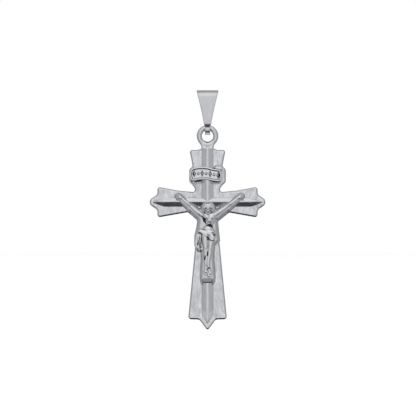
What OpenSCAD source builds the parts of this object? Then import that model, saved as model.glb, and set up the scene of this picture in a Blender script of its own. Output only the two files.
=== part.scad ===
// Crucifix pendant: folded bail, hanging ring, flared cross with ridge bars,
// titulus scroll and relief corpus.
// The origin is the axis of the bend at the top of the bail, where the chain runs.
// +Z is up, the decorated front looks to -Y, and +X is the viewer's right.

/* [Bail] */
// Inner radius of the bend that the chain runs through
seat_r = 1.3; // [1.15:0.05:1.4]
// Thickness of the folded strip
strip_t = 0.32; // [0.28:0.02:0.36]
// Width of the bail at its top
bail_top_w = 4.8; // [4.2:0.1:5.2]
// Width of the bail where it narrows to the tongue
bail_low_w = 1.5; // [1.3:0.1:1.8]
// Width of the tongue that hooks through the ring
tongue_w = 1.1; // [0.9:0.05:1.15]
// Height of the chain's axis above the wire inside the tongue
bail_drop = 6.26; // [5.8:0.02:6.6]

/* [Hanging ring] */
// Diameter of the ring's wire
wire_d = 1.1; // [1:0.02:1.14]
// Outside diameter of the ring
ring_d = 4.56; // [4.5:0.02:4.8]

/* [Cross plate] */
// Width across the points of the two arms
cross_w = 24.2; // [23.6:0.1:25]
// Distance from the ring's centre down to the point of the foot
cross_h = 40.6; // [40:0.1:41.4]
// Thickness of the plate
plate_t = 1.1; // [1.1:0.02:1.2]
// Width of the upper wing at its top corners
wing_w = 7.4; // [7:0.1:7.8]
// Width of the upper wing where the arms leave it
waist_w = 5.3; // [5:0.1:5.5]
// Height of each arm at its outer corners
arm_end_h = 6.5; // [6:0.1:7]
// Height of each arm where it leaves the middle
arm_root_h = 4.2; // [4:0.1:4.4]
// Width of the lower wing below the arms
shaft_top_w = 4.1; // [3.9:0.1:4.3]
// Width of the lower wing at its foot corners
shaft_foot_w = 8.2; // [7.8:0.1:8.6]

/* [Ridge bars] */
// Width of the upright ridge bar
upright_w = 2.46; // [2.2:0.02:2.6]
// Width of the ridge bars on the arms
arm_bar_w = 1.9; // [1.7:0.02:2]
// Height of the ridges above the plate
ridge_h = 0.55; // [0.5:0.01:0.6]

/* [Scroll and corpus] */
// Height of the scroll's front above the plate
scroll_h = 1.0; // [0.9:0.05:1.1]
// Height of the bed around the figure above the plate
bed_h = 0.8; // [0.75:0.05:0.9]

/* [Hidden] */
$fn = 96;

steel = [0.76, 0.77, 0.79];
brushed = [0.83, 0.84, 0.85];
polished = [0.62, 0.63, 0.66];
relief = [0.70, 0.71, 0.73];

// Ring, and the wire at its top inside the bail's tongue
wire_r = wire_d / 2;
ring_r = ring_d / 2 - wire_r;
ring_z = -bail_drop - ring_r;
ring_gap = 0.03;

// Bail: seat above, eye around the wire below, and the crimp where the front leg narrows
bend_r = seat_r + strip_t;
eye_play = 0.13;
eye_r = wire_r + eye_play;
eye_out = eye_r + strip_t;
crimp_top_z = -bail_drop + 0.76;
crimp_low_z = -bail_drop + 0.16;
crimp_y = 1.32;
tail_z = -bail_drop - 1.5;
bail_waist = 0.08;
bail_corner_r = 0.18;
tail_corner_r = 0.15;

// Levels of the plate's outline
front_y = -plate_t / 2;
neck_w = 2.6;
neck_z = ring_z - 2.1;
neck_lip_z = ring_z - 1.53;
wing_top_z = ring_z - 2.94;
arm_z = ring_z - 13.9;
foot_tip_z = ring_z - cross_h;
foot_z = foot_tip_z + 2.1;
arm_end_x = 10.5;
tip_half_h = 1.62;
shaft_top_z = arm_z - 3.7;

// Further half widths of the plate's outline
neck_lip_x = 1.78;
neck_foot_x = neck_w / 2 + 0.65;
wing_low_x = 3.28;
pad_top_x = 3.16;
pad_low_x = 3;
arm_mid_x = 6.3;
crotch_x = 3.6;
foot_shoulder_x = 1.75;
// How far a sharp corner stands out beyond its rounding
corner_over = 0.12;
arm_over = 0.9;
foot_over = 0.33;

// Scroll and its pad on the plate
scroll_z = ring_z - 8.35;
pad_x = 3.85;
pad_half_h = 1.3;
field_depth = 0.22;
lozenge_pitch = 1.05;
lozenge_r = 0.42;
lozenge_h = 0.147;

// Ridge bars
bar_wall = 0.14;
ridge_flat = 0.16;
ridge_y = front_y - ridge_h;
bar_top_z = ring_z - 2.2;
bar_foot_z = foot_tip_z + 1.35;
arm_bar_x = cross_w / 2 - 0.85;
hip = 0.9;
foot_hip = hip * 1.3;

// Bed around the figure, and the ledge under its feet
bed_y = front_y - bed_h;
bed_round = 0.06;
ledge_out = 0.85;
ledge_half_w = 1.35;
ledge_top_z = arm_z - 15.9;

// Reach past everything, and a small overlap for clean cuts
far = 30;
eps = 0.01;

// ---- 2D helpers -------------------------------------------------------------

function unit(v) = v / norm(v);
function turn(a) = a > 180 ? a - 360 : a <= -180 ? a + 360 : a;
function xz(v) = [v[0], v[1]];

// The points of one rounded corner at p, between the neighbours a and b
function corner(a, p, b, r, steps) =
    r == 0 ? [p] :
    let (
        u = unit(a - p),
        v = unit(b - p),
        half = acos(u * v) / 2,
        c = p + unit(u + v) * r / sin(half),
        s = p + u * r / tan(half) - c,
        e = p + v * r / tan(half) - c,
        from = atan2(s[1], s[0]),
        sweep = turn(atan2(e[1], e[0]) - from)
    )
    [for (i = [0 : steps]) c + r * [cos(from + sweep * i / steps), sin(from + sweep * i / steps)]];

// An outline from corners given as [x, z, radius]
function rounded(vs, steps = 6) =
    let (n = len(vs))
    [for (i = [0 : n - 1])
        each corner(xz(vs[(i + n - 1) % n]), xz(vs[i]), xz(vs[(i + 1) % n]), vs[i][2], steps)];

// Both halves of an outline from the corners of its right half, listed from the top down
function both_sides(half) = concat(
    half,
    [for (i = [len(half) - 1 : -1 : 0]) if (half[i][0] > 0) [-half[i][0], half[i][1], half[i][2]]]
);

// A shape drawn in x and z, standing between the depths y0 and y1
module front_prism(y0, y1) {
    translate([0, y1, 0]) rotate([90, 0, 0]) linear_extrude(height = y1 - y0) children();
}

// A shape drawn in y and z, reaching from x0 to x1
module side_prism(x0, x1) {
    translate([x0, 0, 0]) rotate([90, 0, 90]) linear_extrude(height = x1 - x0) children();
}

// ---- Bail -------------------------------------------------------------------

// Lean of a leg of the strip that leaves a bend of radius r and passes through [y, z]
function lean(r, y, z) = acos(r / norm([y, z])) - atan2(-z, y);

// One side of the strip's profile: it leaves the bend of radius r and ends at [y, z]
function leg(r, y, z) =
    let (a = -lean(r, y, z))
    [[r * cos(a), -r * sin(a)], [y, z]];

module strip_profile() {
    front_out = leg(bend_r, crimp_y, crimp_top_z);
    front_in = leg(seat_r, crimp_y - strip_t, crimp_top_z);
    back_out = leg(bend_r, eye_out, -bail_drop);
    back_in = leg(seat_r, eye_r, -bail_drop);
    eye_front = sqrt(pow(eye_out, 2) - pow(crimp_low_z + bail_drop, 2));
    difference() {
        union() {
            circle(r = bend_r);
            polygon([
                [-front_out[0][0], front_out[0][1]], [-front_out[1][0], front_out[1][1]],
                [-eye_front, crimp_low_z], [0, -bail_drop], back_out[1], back_out[0]
            ]);
            translate([0, -bail_drop]) circle(r = eye_out);
            translate([eye_r, tail_z]) square([strip_t, -bail_drop - tail_z]);
        }
        circle(r = seat_r);
        polygon([
            [-front_in[0][0], front_in[0][1]], [-front_in[1][0], front_in[1][1]],
            [-eye_r * 0.9, -bail_drop + 0.3], [0, -bail_drop], back_in[1], back_in[0]
        ]);
        translate([0, -bail_drop]) circle(r = eye_r);
    }
}

// Half of the bail's width at the fraction t of the way from its top to the crimp
function bail_half(t) =
    (bail_top_w + (bail_low_w - bail_top_w) * t) / 2 - bail_waist * sin(180 * t);

function bail_outline() =
    let (
        top = bend_r + eps,
        side = [
            for (t = [0 : 0.125 : 1])
                [bail_half(t), top + (crimp_top_z - top) * t, t == 0 ? bail_corner_r : 0]
        ],
        tongue = [[tongue_w / 2, crimp_low_z, 0], [tongue_w / 2, tail_z, tail_corner_r]]
    )
    rounded(both_sides(concat(side, tongue)));

module bail() {
    color(steel) intersection() {
        side_prism(-bail_top_w / 2, bail_top_w / 2) strip_profile();
        front_prism(-far, far) polygon(bail_outline());
    }
}

// ---- Ring -------------------------------------------------------------------

module ring_torus(extra = 0) {
    translate([0, 0, ring_z]) rotate([90, 0, 0])
        rotate_extrude() translate([ring_r, 0]) circle(r = wire_r + extra);
}

module hanging_ring() {
    color(steel) ring_torus();
}

// ---- Cross plate ------------------------------------------------------------

function plate_outline() = rounded(both_sides([
    // Neck and upper wing
    [neck_lip_x, neck_lip_z, 0],
    [neck_w / 2, neck_z, 0.7],
    [neck_foot_x, wing_top_z, 0.4],
    [wing_w / 2 + corner_over, wing_top_z, 0.5],
    [wing_low_x, wing_top_z - 2.6, 2.5],
    // Pad behind the scroll
    [pad_top_x, scroll_z + pad_half_h + 0.7, 0.3],
    [pad_x, scroll_z + pad_half_h, 0.7],
    [pad_x, scroll_z - pad_half_h, 0.7],
    [pad_low_x, scroll_z - pad_half_h - 0.85, 0.3],
    // Waist and arm
    [waist_w / 2, scroll_z - pad_half_h - 1.35, 0.6],
    [waist_w / 2, arm_z + arm_root_h / 2, 0.45],
    [arm_mid_x, arm_z + arm_root_h / 2 + 0.35, 8],
    [arm_end_x + 0.05, arm_z + arm_end_h / 2, 0.55],
    [arm_end_x, arm_z + tip_half_h, 0.9],
    [cross_w / 2 + arm_over, arm_z, 1],
    [arm_end_x, arm_z - tip_half_h, 0.9],
    [arm_end_x + 0.05, arm_z - arm_end_h / 2, 0.55],
    [crotch_x + 0.7, arm_z - arm_root_h / 2 - 0.05, 3],
    [crotch_x, arm_z - arm_root_h / 2, 0.6],
    // Lower wing and the point of the foot
    [shaft_top_w / 2, shaft_top_z, 0.8],
    [shaft_foot_w / 2, foot_z, 0.6],
    [foot_shoulder_x, foot_z - 0.05, 0.8],
    [0, foot_tip_z - foot_over, 0.45]
]));

module cross_plate() {
    color(brushed) difference() {
        front_prism(front_y, -front_y) polygon(plate_outline());
        ring_torus(ring_gap);
        translate([0, 0, ring_z]) rotate([90, 0, 0])
            cylinder(r = ring_r + wire_r * 0.6, h = plate_t * 2, center = true);
    }
}

// ---- Ridge bars -------------------------------------------------------------

// Section of a ridge bar of width w, lying on the plate's front: [across, depth]
function roof(w) = [
    [-w / 2, front_y], [-w / 2, front_y - bar_wall], [-ridge_flat / 2, ridge_y],
    [ridge_flat / 2, ridge_y], [w / 2, front_y - bar_wall], [w / 2, front_y]
];

module upright_solid() {
    top_w = upright_w * 0.82;
    intersection() {
        translate([0, 0, foot_tip_z]) linear_extrude(height = -foot_tip_z) polygon(roof(upright_w));
        front_prism(-far, far) polygon([
            [-top_w / 2, bar_top_z], [-upright_w / 2, bar_top_z - hip],
            [-upright_w / 2, bar_foot_z + foot_hip], [0, bar_foot_z],
            [upright_w / 2, bar_foot_z + foot_hip], [upright_w / 2, bar_top_z - hip],
            [top_w / 2, bar_top_z]
        ]);
        side_prism(-far, far) polygon([
            [front_y, bar_top_z], [ridge_y, bar_top_z - hip],
            [ridge_y, bar_foot_z + foot_hip], [front_y, bar_foot_z]
        ]);
    }
}

module upright_bar() {
    color(polished) upright_solid();
}

// The bar on one arm, side = 1 to the right and -1 to the left
module arm_solid(side) {
    mirror([side < 0 ? 1 : 0, 0, 0]) intersection() {
        translate([0, 0, arm_z]) rotate([0, 90, 0])
            linear_extrude(height = cross_w / 2) polygon(roof(arm_bar_w));
        front_prism(-far, far) polygon([
            [0, arm_z - arm_bar_w / 2], [arm_bar_x - hip, arm_z - arm_bar_w / 2], [arm_bar_x, arm_z],
            [arm_bar_x - hip, arm_z + arm_bar_w / 2], [0, arm_z + arm_bar_w / 2]
        ]);
    }
}

module arm_bar(side) {
    color(polished) difference() {
        arm_solid(side);
        upright_solid();
    }
}

module left_arm_bar() {
    arm_bar(-1);
}

module right_arm_bar() {
    arm_bar(1);
}

// ---- Titulus scroll ---------------------------------------------------------

function scroll_outline() = rounded([
    [-3.55, scroll_z + 1.15, 0.7], [-0.6, scroll_z + 1.6, 3], [1.2, scroll_z + 1.2, 0.4],
    [1.8, scroll_z + 2.1, 0.5], [3.2, scroll_z + 2.0, 0.6], [3.5, scroll_z + 0.6, 1],
    [3.5, scroll_z - 1.2, 0.5], [3.2, scroll_z - 1.8, 0.4], [0.8, scroll_z - 1.7, 0.3],
    [-1.6, scroll_z - 1.6, 0.3], [-2.2, scroll_z - 2.2, 0.4], [-3.3, scroll_z - 2.1, 0.5]
]);

function field_outline() = rounded([
    [-3.1, scroll_z + 0.75, 0.35], [-0.4, scroll_z + 1.15, 2], [2.75, scroll_z + 0.75, 0.3],
    [2.75, scroll_z - 0.95, 0.3], [-3.0, scroll_z - 0.9, 0.3]
]);

module titulus_scroll() {
    face_y = front_y - scroll_h;
    color(relief) {
        difference() {
            front_prism(face_y, front_y) polygon(scroll_outline());
            front_prism(face_y - eps, face_y + field_depth) polygon(field_outline());
            upright_solid();
        }
        // A row of raised lozenges on the recessed field
        for (i = [-2 : 2])
            translate([i * lozenge_pitch - 0.15, face_y + field_depth, scroll_z])
                rotate([90, 0, 0]) cylinder(r = lozenge_r, h = lozenge_h, $fn = 4);
    }
}

// ---- Corpus -----------------------------------------------------------------

// Joints of the figure as [x, depth, z]; z counts from the arm bars' height
function at(x, y, z) = [x, y, arm_z + z];

shoulder_l = at(-1.45, -1.45, -2.5);
elbow_l = at(-3.45, -1.45, -0.95);
wrist_l = at(-5.2, -1.42, 0.75);
palm_l = at(-6.35, -1.38, 1.4);
shoulder_r = at(1.85, -1.45, -2.4);
elbow_r = at(4.2, -1.45, -0.75);
wrist_r = at(6.3, -1.42, 0.95);
palm_r = at(7.3, -1.38, 1.45);
crown = at(0.05, -1.85, -1.0);
chin = at(0.15, -2.0, -2.1);
throat = at(0.2, -1.5, -2.5);
chest = at(0.2, -1.5, -3.2);
belly = at(0.25, -1.5, -5.3);
hip_l = at(-0.8, -1.5, -6.6);
hip_r = at(1.1, -1.5, -6.6);
knee_l = at(-0.4, -2.0, -9.4);
knee_r = at(0.55, -2.05, -9.5);
ankle_l = at(-0.15, -1.55, -13.1);
ankle_r = at(0.35, -1.75, -13.2);
toes = at(0.3, -1.85, -15.5);

// A limb between two joints, as a hull of two balls
module limb(p, q, rp, rq) {
    hull() {
        translate(p) sphere(r = rp, $fn = 20);
        translate(q) sphere(r = rq, $fn = 20);
    }
}

module figure_solid() {
    // Head and throat
    limb(crown, chin, 0.85, 0.5);
    limb(throat, chest, 0.5, 0.7);
    // Arms with flat open hands
    limb(shoulder_l, elbow_l, 0.46, 0.34);
    limb(elbow_l, wrist_l, 0.34, 0.26);
    limb(wrist_l, palm_l, 0.26, 0.34);
    limb(shoulder_r, elbow_r, 0.46, 0.34);
    limb(elbow_r, wrist_r, 0.34, 0.26);
    limb(wrist_r, palm_r, 0.26, 0.34);
    // Trunk
    hull() {
        translate(shoulder_l) sphere(r = 0.5, $fn = 20);
        translate(shoulder_r) sphere(r = 0.5, $fn = 20);
        translate(chest + [0.35, 0, -0.2]) sphere(r = 0.8, $fn = 20);
        translate(chest - [0.35, 0, 0.2]) sphere(r = 0.8, $fn = 20);
        translate(belly + [0.25, 0, 0]) sphere(r = 0.72, $fn = 20);
        translate(belly - [0.25, 0, 0]) sphere(r = 0.72, $fn = 20);
    }
    // Loincloth round the hips, with its end hanging at the left
    hull() {
        translate(belly) sphere(r = 0.7, $fn = 20);
        translate(hip_l) sphere(r = 0.85, $fn = 20);
        translate(hip_r) sphere(r = 0.8, $fn = 20);
        translate((hip_r + knee_r) / 2) sphere(r = 0.7, $fn = 20);
    }
    limb(hip_l - [1.0, -0.1, 0], hip_l - [1.15, -0.25, 3.1], 0.4, 0.42);
    // Legs, crossed at the feet
    limb(hip_l, knee_l, 0.72, 0.54);
    limb(hip_r, knee_r, 0.72, 0.54);
    limb(knee_l, ankle_l, 0.54, 0.34);
    limb(knee_r, ankle_r, 0.54, 0.34);
    limb(ankle_r, toes, 0.38, 0.34);
}

// Everything that lies behind the figure's bed
module cross_front() {
    upright_solid();
    arm_solid(1);
    arm_solid(-1);
}

// A rounded stroke of the bed's outline between two joints
module stroke(p, q, rp, rq) {
    hull() {
        translate([p[0], p[2]]) circle(r = rp, $fn = 32);
        translate([q[0], q[2]]) circle(r = rq, $fn = 32);
    }
}

module bed_outline() {
    stroke(crown, crown, 1.75, 1.75);
    stroke(shoulder_l, elbow_l, 0.95, 0.72);
    stroke(elbow_l, palm_l, 0.72, 0.68);
    stroke(shoulder_r, elbow_r, 0.95, 0.72);
    stroke(elbow_r, palm_r, 0.72, 0.68);
    polygon(rounded([
        [-2.45, arm_z - 1.9, 0.5], [2.5, arm_z - 1.9, 0.5], [2.1, arm_z - 4.2, 1],
        [2.3, arm_z - 8.5, 0.3], [1.35, arm_z - 9.7, 0.6], [1.3, arm_z - 13, 2],
        [1.6, arm_z - 14.6, 0.6], [1.5, arm_z - 17.2, 0.4], [-1.5, arm_z - 17.2, 0.4],
        [-1.6, arm_z - 14.6, 0.6], [-1.3, arm_z - 13, 2], [-1.4, arm_z - 10.2, 0.5],
        [-2.5, arm_z - 10.2, 0.6], [-2.5, arm_z - 7.0, 1], [-2.1, arm_z - 4.2, 1]
    ]));
}

module bed_solid() {
    front_prism(bed_y, front_y) offset(r = bed_round, $fn = 24) bed_outline();
}

module corpus_bed() {
    color(polished) difference() {
        bed_solid();
        cross_front();
    }
}

module foot_solid() {
    side_prism(-ledge_half_w, ledge_half_w) polygon([
        [bed_y, ledge_top_z + 0.5], [bed_y - ledge_out, ledge_top_z],
        [bed_y - ledge_out, ledge_top_z - 0.45], [bed_y, ledge_top_z - 0.9]
    ]);
}

module foot_rest() {
    color(polished) foot_solid();
}

module corpus() {
    color(relief) difference() {
        figure_solid();
        front_prism(bed_y, far) square([4 * far, 8 * far], center = true);
        foot_solid();
    }
}

bail();
hanging_ring();
cross_plate();
upright_bar();
left_arm_bar();
right_arm_bar();
titulus_scroll();
corpus_bed();
corpus();
foot_rest();
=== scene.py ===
import math

import bmesh
import bpy
import numpy as np
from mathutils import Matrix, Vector


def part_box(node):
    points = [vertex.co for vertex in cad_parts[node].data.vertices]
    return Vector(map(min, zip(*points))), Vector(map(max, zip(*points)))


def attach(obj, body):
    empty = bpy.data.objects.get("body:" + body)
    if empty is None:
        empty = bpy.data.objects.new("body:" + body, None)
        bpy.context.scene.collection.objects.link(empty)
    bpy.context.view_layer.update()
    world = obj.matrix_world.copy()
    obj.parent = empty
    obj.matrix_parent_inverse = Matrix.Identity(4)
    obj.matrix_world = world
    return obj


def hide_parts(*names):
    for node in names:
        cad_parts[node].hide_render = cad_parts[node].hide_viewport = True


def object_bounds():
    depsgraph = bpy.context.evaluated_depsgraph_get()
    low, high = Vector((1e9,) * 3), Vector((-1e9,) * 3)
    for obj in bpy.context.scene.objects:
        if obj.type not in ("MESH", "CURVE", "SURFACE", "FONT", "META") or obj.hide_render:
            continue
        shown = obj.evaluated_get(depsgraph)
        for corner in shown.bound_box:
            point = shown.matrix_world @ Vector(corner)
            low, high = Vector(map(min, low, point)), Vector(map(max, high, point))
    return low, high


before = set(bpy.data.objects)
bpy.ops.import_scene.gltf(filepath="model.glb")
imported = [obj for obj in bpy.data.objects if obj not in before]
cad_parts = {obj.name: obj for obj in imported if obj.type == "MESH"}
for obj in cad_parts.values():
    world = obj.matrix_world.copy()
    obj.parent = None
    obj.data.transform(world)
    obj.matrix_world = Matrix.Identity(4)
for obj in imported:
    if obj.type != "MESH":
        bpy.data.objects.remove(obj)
cad_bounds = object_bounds()

# Shapes below are worked out in millimetres in the row frame, and scaled as they become meshes.
MM = 0.001


def mm_box(node):
    """Lowest and highest corner of a CAD node, in millimetres."""
    low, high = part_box(node)
    return np.array(low) / MM, np.array(high) / MM


# ---- Levels read from the frame ----

plate_low = mm_box("cross_plate")[0]
ring_low, ring_high = mm_box("hanging_ring")
bail_low, bail_high = mm_box("bail")
arm_low, arm_high = mm_box("left_arm_bar")
upright_low, upright_high = mm_box("upright_bar")
scroll_low, scroll_high = mm_box("titulus_scroll")
bed_low = mm_box("corpus_bed")[0]
foot_low, foot_high = mm_box("foot_rest")

FRONT = plate_low[1]
ARM_Z = (arm_low[2] + arm_high[2]) / 2
RING_Z = (ring_low[2] + ring_high[2]) / 2
WIRE_R = (ring_high[1] - ring_low[1]) / 2
RING_R = (ring_high[0] - ring_low[0]) / 2 - WIRE_R
BED = bed_low[1]
SCROLL_Z = (scroll_low[2] + scroll_high[2]) / 2 + 0.05

# The plate ends just above the neck's foot, and the neck stands a hair prouder than the wire
NECK_FOOT_Z = RING_Z - 2.92
PLATE_TOP_Z = RING_Z - 2.75
NECK_HALF_WIDTH = 1.31
NECK_PROUD = 0.012
PLATE_EDGE_R = 0.42


# ---- Steel ----

# Painted shade: the near-black colour that hollows and deep cuts are darkened towards
PAINTED_SHADE_TONE = (0.03, 0.03, 0.035)


def new_material(name):
    material = bpy.data.materials.new(name)
    material.use_nodes = True
    tree = material.node_tree
    return material, tree, tree.nodes["Principled BSDF"]


def add(tree, kind, **values):
    """A node, with its properties and its inputs' values set by name."""
    node = tree.nodes.new(kind)
    for key, value in values.items():
        if key in node.inputs:
            node.inputs[key].default_value = value
        else:
            setattr(node, key, value)
    return node


def stretched_noise(tree, scale, detail=3.0, turn=0.0):
    """Noise over the object's own coordinates, turned in the front plane and scaled along x, y, z."""
    place = add(tree, "ShaderNodeTexCoord")
    mapping = add(tree, "ShaderNodeMapping")
    mapping.inputs["Scale"].default_value = scale
    mapping.inputs["Rotation"].default_value = (0, turn, 0)
    noise = add(tree, "ShaderNodeTexNoise", Scale=1.0, Detail=detail, Roughness=0.6)
    tree.links.new(place.outputs["Object"], mapping.inputs["Vector"])
    tree.links.new(mapping.outputs["Vector"], noise.inputs["Vector"])
    return noise.outputs["Fac"]


def ramp(tree, source, low, high, first=0, second=1, interpolation_type="LINEAR"):
    """first to second as source goes from low to high, and held beyond them."""
    ends = {"From Min": low, "From Max": high, "To Min": first, "To Max": second}
    node = add(tree, "ShaderNodeMapRange", interpolation_type=interpolation_type, **ends)
    tree.links.new(source, node.inputs["Value"])
    return node.outputs["Result"]


def smooth(tree, source, low, high):
    """0 to 1 with eased ends as source goes from low to high."""
    return ramp(tree, source, low, high, interpolation_type="SMOOTHSTEP")


def times(tree, first, second):
    node = add(tree, "ShaderNodeMath", operation="MULTIPLY")
    tree.links.new(first, node.inputs[0])
    tree.links.new(second, node.inputs[1])
    return node.outputs["Value"]


def tint(tree, source, dark, light):
    """A colour between dark and light as source goes from 0 to 1."""
    node = add(tree, "ShaderNodeMix", data_type="RGBA")
    node.inputs["A"].default_value = (*dark, 1)
    node.inputs["B"].default_value = (*light, 1)
    tree.links.new(source, node.inputs["Factor"])
    return node.outputs["Result"]


def blended(tree, share, colour, other):
    mix = add(tree, "ShaderNodeMix", data_type="RGBA")
    mix.inputs["B"].default_value = (*other, 1)
    tree.links.new(share, mix.inputs["Factor"])
    tree.links.new(colour, mix.inputs["A"])
    return mix.outputs["Result"]


def steel(name, light, dark, rough, grain, grain_turn=0.0, bump=0.02, hollows=False, edge=None,
          broad_share=0.45):
    """Stainless steel: light and dark tones in its grain, a roughness range and a bump in millimetres.

    With hollows, its colour darkens by the mesh's "cavity" attribute, a painted shade in hollows and deep
    cuts. With an edge tone, only what faces the front or back is brushed: the edges stay smooth, and their
    colour goes to the edge tone, a painted shade on the rims."""
    material, tree, shader = new_material(name)
    shader.inputs["Metallic"].default_value = 1.0
    fine = stretched_noise(tree, grain, 4.0, grain_turn)
    broad = stretched_noise(tree, (900, 900, 600), 3.0, grain_turn)
    both = add(tree, "ShaderNodeMix", data_type="FLOAT")
    both.inputs["Factor"].default_value = broad_share
    tree.links.new(fine, both.inputs["A"])
    tree.links.new(broad, both.inputs["B"])
    mottle = both.outputs["Result"]
    colour = tint(tree, ramp(tree, mottle, 0.36, 0.64, 0, 1), dark, light)
    roughness = ramp(tree, stretched_noise(tree, (900, 900, 900), 2.0), 0.3, 0.7, *rough)
    # Painted shade: the colour darkens towards the painted shade tone in hollows and deep cuts
    if hollows:
        hollow = add(tree, "ShaderNodeAttribute", attribute_name="painted_shade")
        colour = blended(tree, hollow.outputs["Fac"], colour, PAINTED_SHADE_TONE)
    relief = add(tree, "ShaderNodeBump", Strength=1.0, Distance=bump * MM)
    tree.links.new(mottle, relief.inputs["Height"])
    if edge:
        place = add(tree, "ShaderNodeTexCoord")
        split = add(tree, "ShaderNodeSeparateXYZ")
        facing = add(tree, "ShaderNodeMath", operation="ABSOLUTE")
        tree.links.new(place.outputs["Normal"], split.inputs[0])
        tree.links.new(split.outputs["Y"], facing.inputs[0])
        # Painted shade: the rims that turn away from the front or back take the darker edge tone
        turned = smooth(tree, facing.outputs["Value"], 0.99, 0.9)
        colour = blended(tree, turned, colour, edge)
        flat = ramp(tree, turned, 0, 1, 1, 0)
        tree.links.new(flat, relief.inputs["Strength"])
        roughness = times(tree, roughness, ramp(tree, turned, 0, 1, 1, 0.5))
    tree.links.new(colour, shader.inputs["Base Color"])
    tree.links.new(roughness, shader.inputs["Roughness"])
    tree.links.new(relief.outputs["Normal"], shader.inputs["Normal"])
    return material


TONES = {"light": (0.62, 0.63, 0.66), "dark": (0.56, 0.57, 0.6)}
FINE = (1500, 1500, 1500)
SATIN = steel("satin_steel", (0.62, 0.63, 0.65), (0.57, 0.58, 0.61), (0.26, 0.32), (4500, 900, 900), 0.6,
              bump=0.0012)
WIRE = steel("wire_steel", (0.6, 0.61, 0.64), (0.57, 0.58, 0.61), (0.22, 0.26), (900, 900, 900), bump=0.0003)
WAVY = steel("wavy_polished_steel", **TONES, rough=(0.1, 0.16), grain=(500, 1800, 2600), bump=0.05,
             broad_share=0.0)
CALM = steel("polished_steel", **TONES, rough=(0.12, 0.18), grain=(2600, 1800, 500), bump=0.012,
             broad_share=0.0)
RELIEF = steel("relief_steel", (0.68, 0.69, 0.71), (0.62, 0.63, 0.65), (0.14, 0.2), FINE, bump=0.0015,
               hollows=True)
FLANK = steel("flank_steel", **TONES, rough=(0.2, 0.28), grain=FINE, bump=0.001, hollows=True)
# Its edge tone paints the plate's rounded rims darker, as shade
BRUSHED = steel("brushed_steel", (0.84, 0.85, 0.87), (0.5, 0.51, 0.54), (0.3, 0.42), (4500, 900, 1000), 0.5,
                bump=0.02, edge=(0.5, 0.51, 0.54))


# ---- Meshes ----

def finish_piece(name, mesh, body, material, nodes=()):
    piece = bpy.data.objects.new(name, mesh)
    bpy.context.scene.collection.objects.link(piece)
    mesh.materials.clear()
    mesh.materials.append(material)
    for polygon in mesh.polygons:
        polygon.use_smooth = True
    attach(piece, body)
    if nodes:
        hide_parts(*nodes)
    return piece


def mesh_from(name, points, faces):
    """A mesh from points in millimetres."""
    mesh = bpy.data.meshes.new(name)
    mesh.from_pydata((np.asarray(points) * MM).tolist(), [], [list(map(int, f)) for f in faces])
    mesh.validate()
    mesh.update()
    return mesh


def outward_mesh(name, points, faces):
    """A mesh from points in millimetres, with its faces turned outwards."""
    mesh = mesh_from(name, points, faces)
    shape = bmesh.new()
    shape.from_mesh(mesh)
    bmesh.ops.recalc_face_normals(shape, faces=shape.faces)
    shape.to_mesh(mesh)
    shape.free()
    return mesh


def tube_faces(rows, n):
    """Faces joining rows of n points each, with a cap at both ends."""
    faces = [[r * n + i, r * n + (i + 1) % n, (r + 1) * n + (i + 1) % n, (r + 1) * n + i]
             for r in range(rows - 1) for i in range(n)]
    return faces + [list(range(n))[::-1], list(range((rows - 1) * n, rows * n))]


def front_outline(node):
    """The outline of a flat CAD node's front face, as evenly spaced (x, z) points in millimetres."""
    shape = bmesh.new()
    shape.from_mesh(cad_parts[node].data)
    bmesh.ops.remove_doubles(shape, verts=shape.verts, dist=0.001 * MM)
    front = {f for f in shape.faces if f.normal.y < -0.99 and f.calc_center_median().y < 0}
    follow = {}
    for f in front:
        for loop in f.loops:
            if not all(g in front for g in loop.edge.link_faces):
                follow[loop.vert.index] = (loop.link_loop_next.vert.index, loop.vert.co.copy())
    # The walk starts at the leftmost corner, so that it is the same each run
    start = here = min(follow, key=lambda corner: tuple(follow[corner][1]))
    corners = []
    while True:
        there, place = follow[here]
        corners.append((place.x / MM, place.z / MM))
        here = there
        if here == start:
            break
    shape.free()
    corners = np.array(corners + corners[:1])
    length = np.concatenate([[0], np.cumsum(np.linalg.norm(np.diff(corners, axis=0), axis=1))])
    even = np.linspace(0, length[-1], int(length[-1] / 0.12), endpoint=False)
    return np.stack([np.interp(even, length, corners[:, 0]), np.interp(even, length, corners[:, 1])], 1)


def rounded_plate(node, name, body, material, radius, top_z, steps=7):
    """A flat CAD node's outline as a plate with rounded edges on both faces, cut off above top_z."""
    low, high = mm_box(node)
    outline = front_outline(node)
    outline = outline[outline[:, 1] < top_z]
    gap = np.argmax(np.linalg.norm(np.roll(outline, -1, 0) - outline, axis=1))
    bridge = np.linspace(outline[gap], outline[(gap + 1) % len(outline)], 24)[1:-1]
    outline = np.concatenate([outline[:gap + 1], bridge, outline[gap + 1:]])
    tangent = np.roll(outline, -1, 0) - np.roll(outline, 1, 0)
    tangent /= np.linalg.norm(tangent, axis=1)[:, None]
    inward = np.stack([-tangent[:, 1], tangent[:, 0]], 1)
    area = np.sum(outline[:, 0] * np.roll(outline[:, 1], -1) - np.roll(outline[:, 0], -1) * outline[:, 1])
    if area < 0:
        inward = -inward
    sweep = np.linspace(0, math.pi / 2, steps)
    rings = [(radius * (1 - math.cos(t)), high[1] - radius * (1 - math.sin(t))) for t in sweep[::-1]]
    rings += [(radius * (1 - math.cos(t)), low[1] + radius * (1 - math.sin(t))) for t in sweep]
    points = [(x, y, z) for inset, y in rings for x, z in outline + inward * inset]
    mesh = outward_mesh(name, points, tube_faces(len(rings), len(outline)))
    piece = finish_piece(name, mesh, body, material, [node])
    weighted = piece.modifiers.new("even_shading", "WEIGHTED_NORMAL")
    weighted.weight = 100
    return piece


# ---- Distance fields ----
# A field takes an array of points (n, 3) in millimetres and gives each one's signed distance,
# negative inside the shape.

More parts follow.
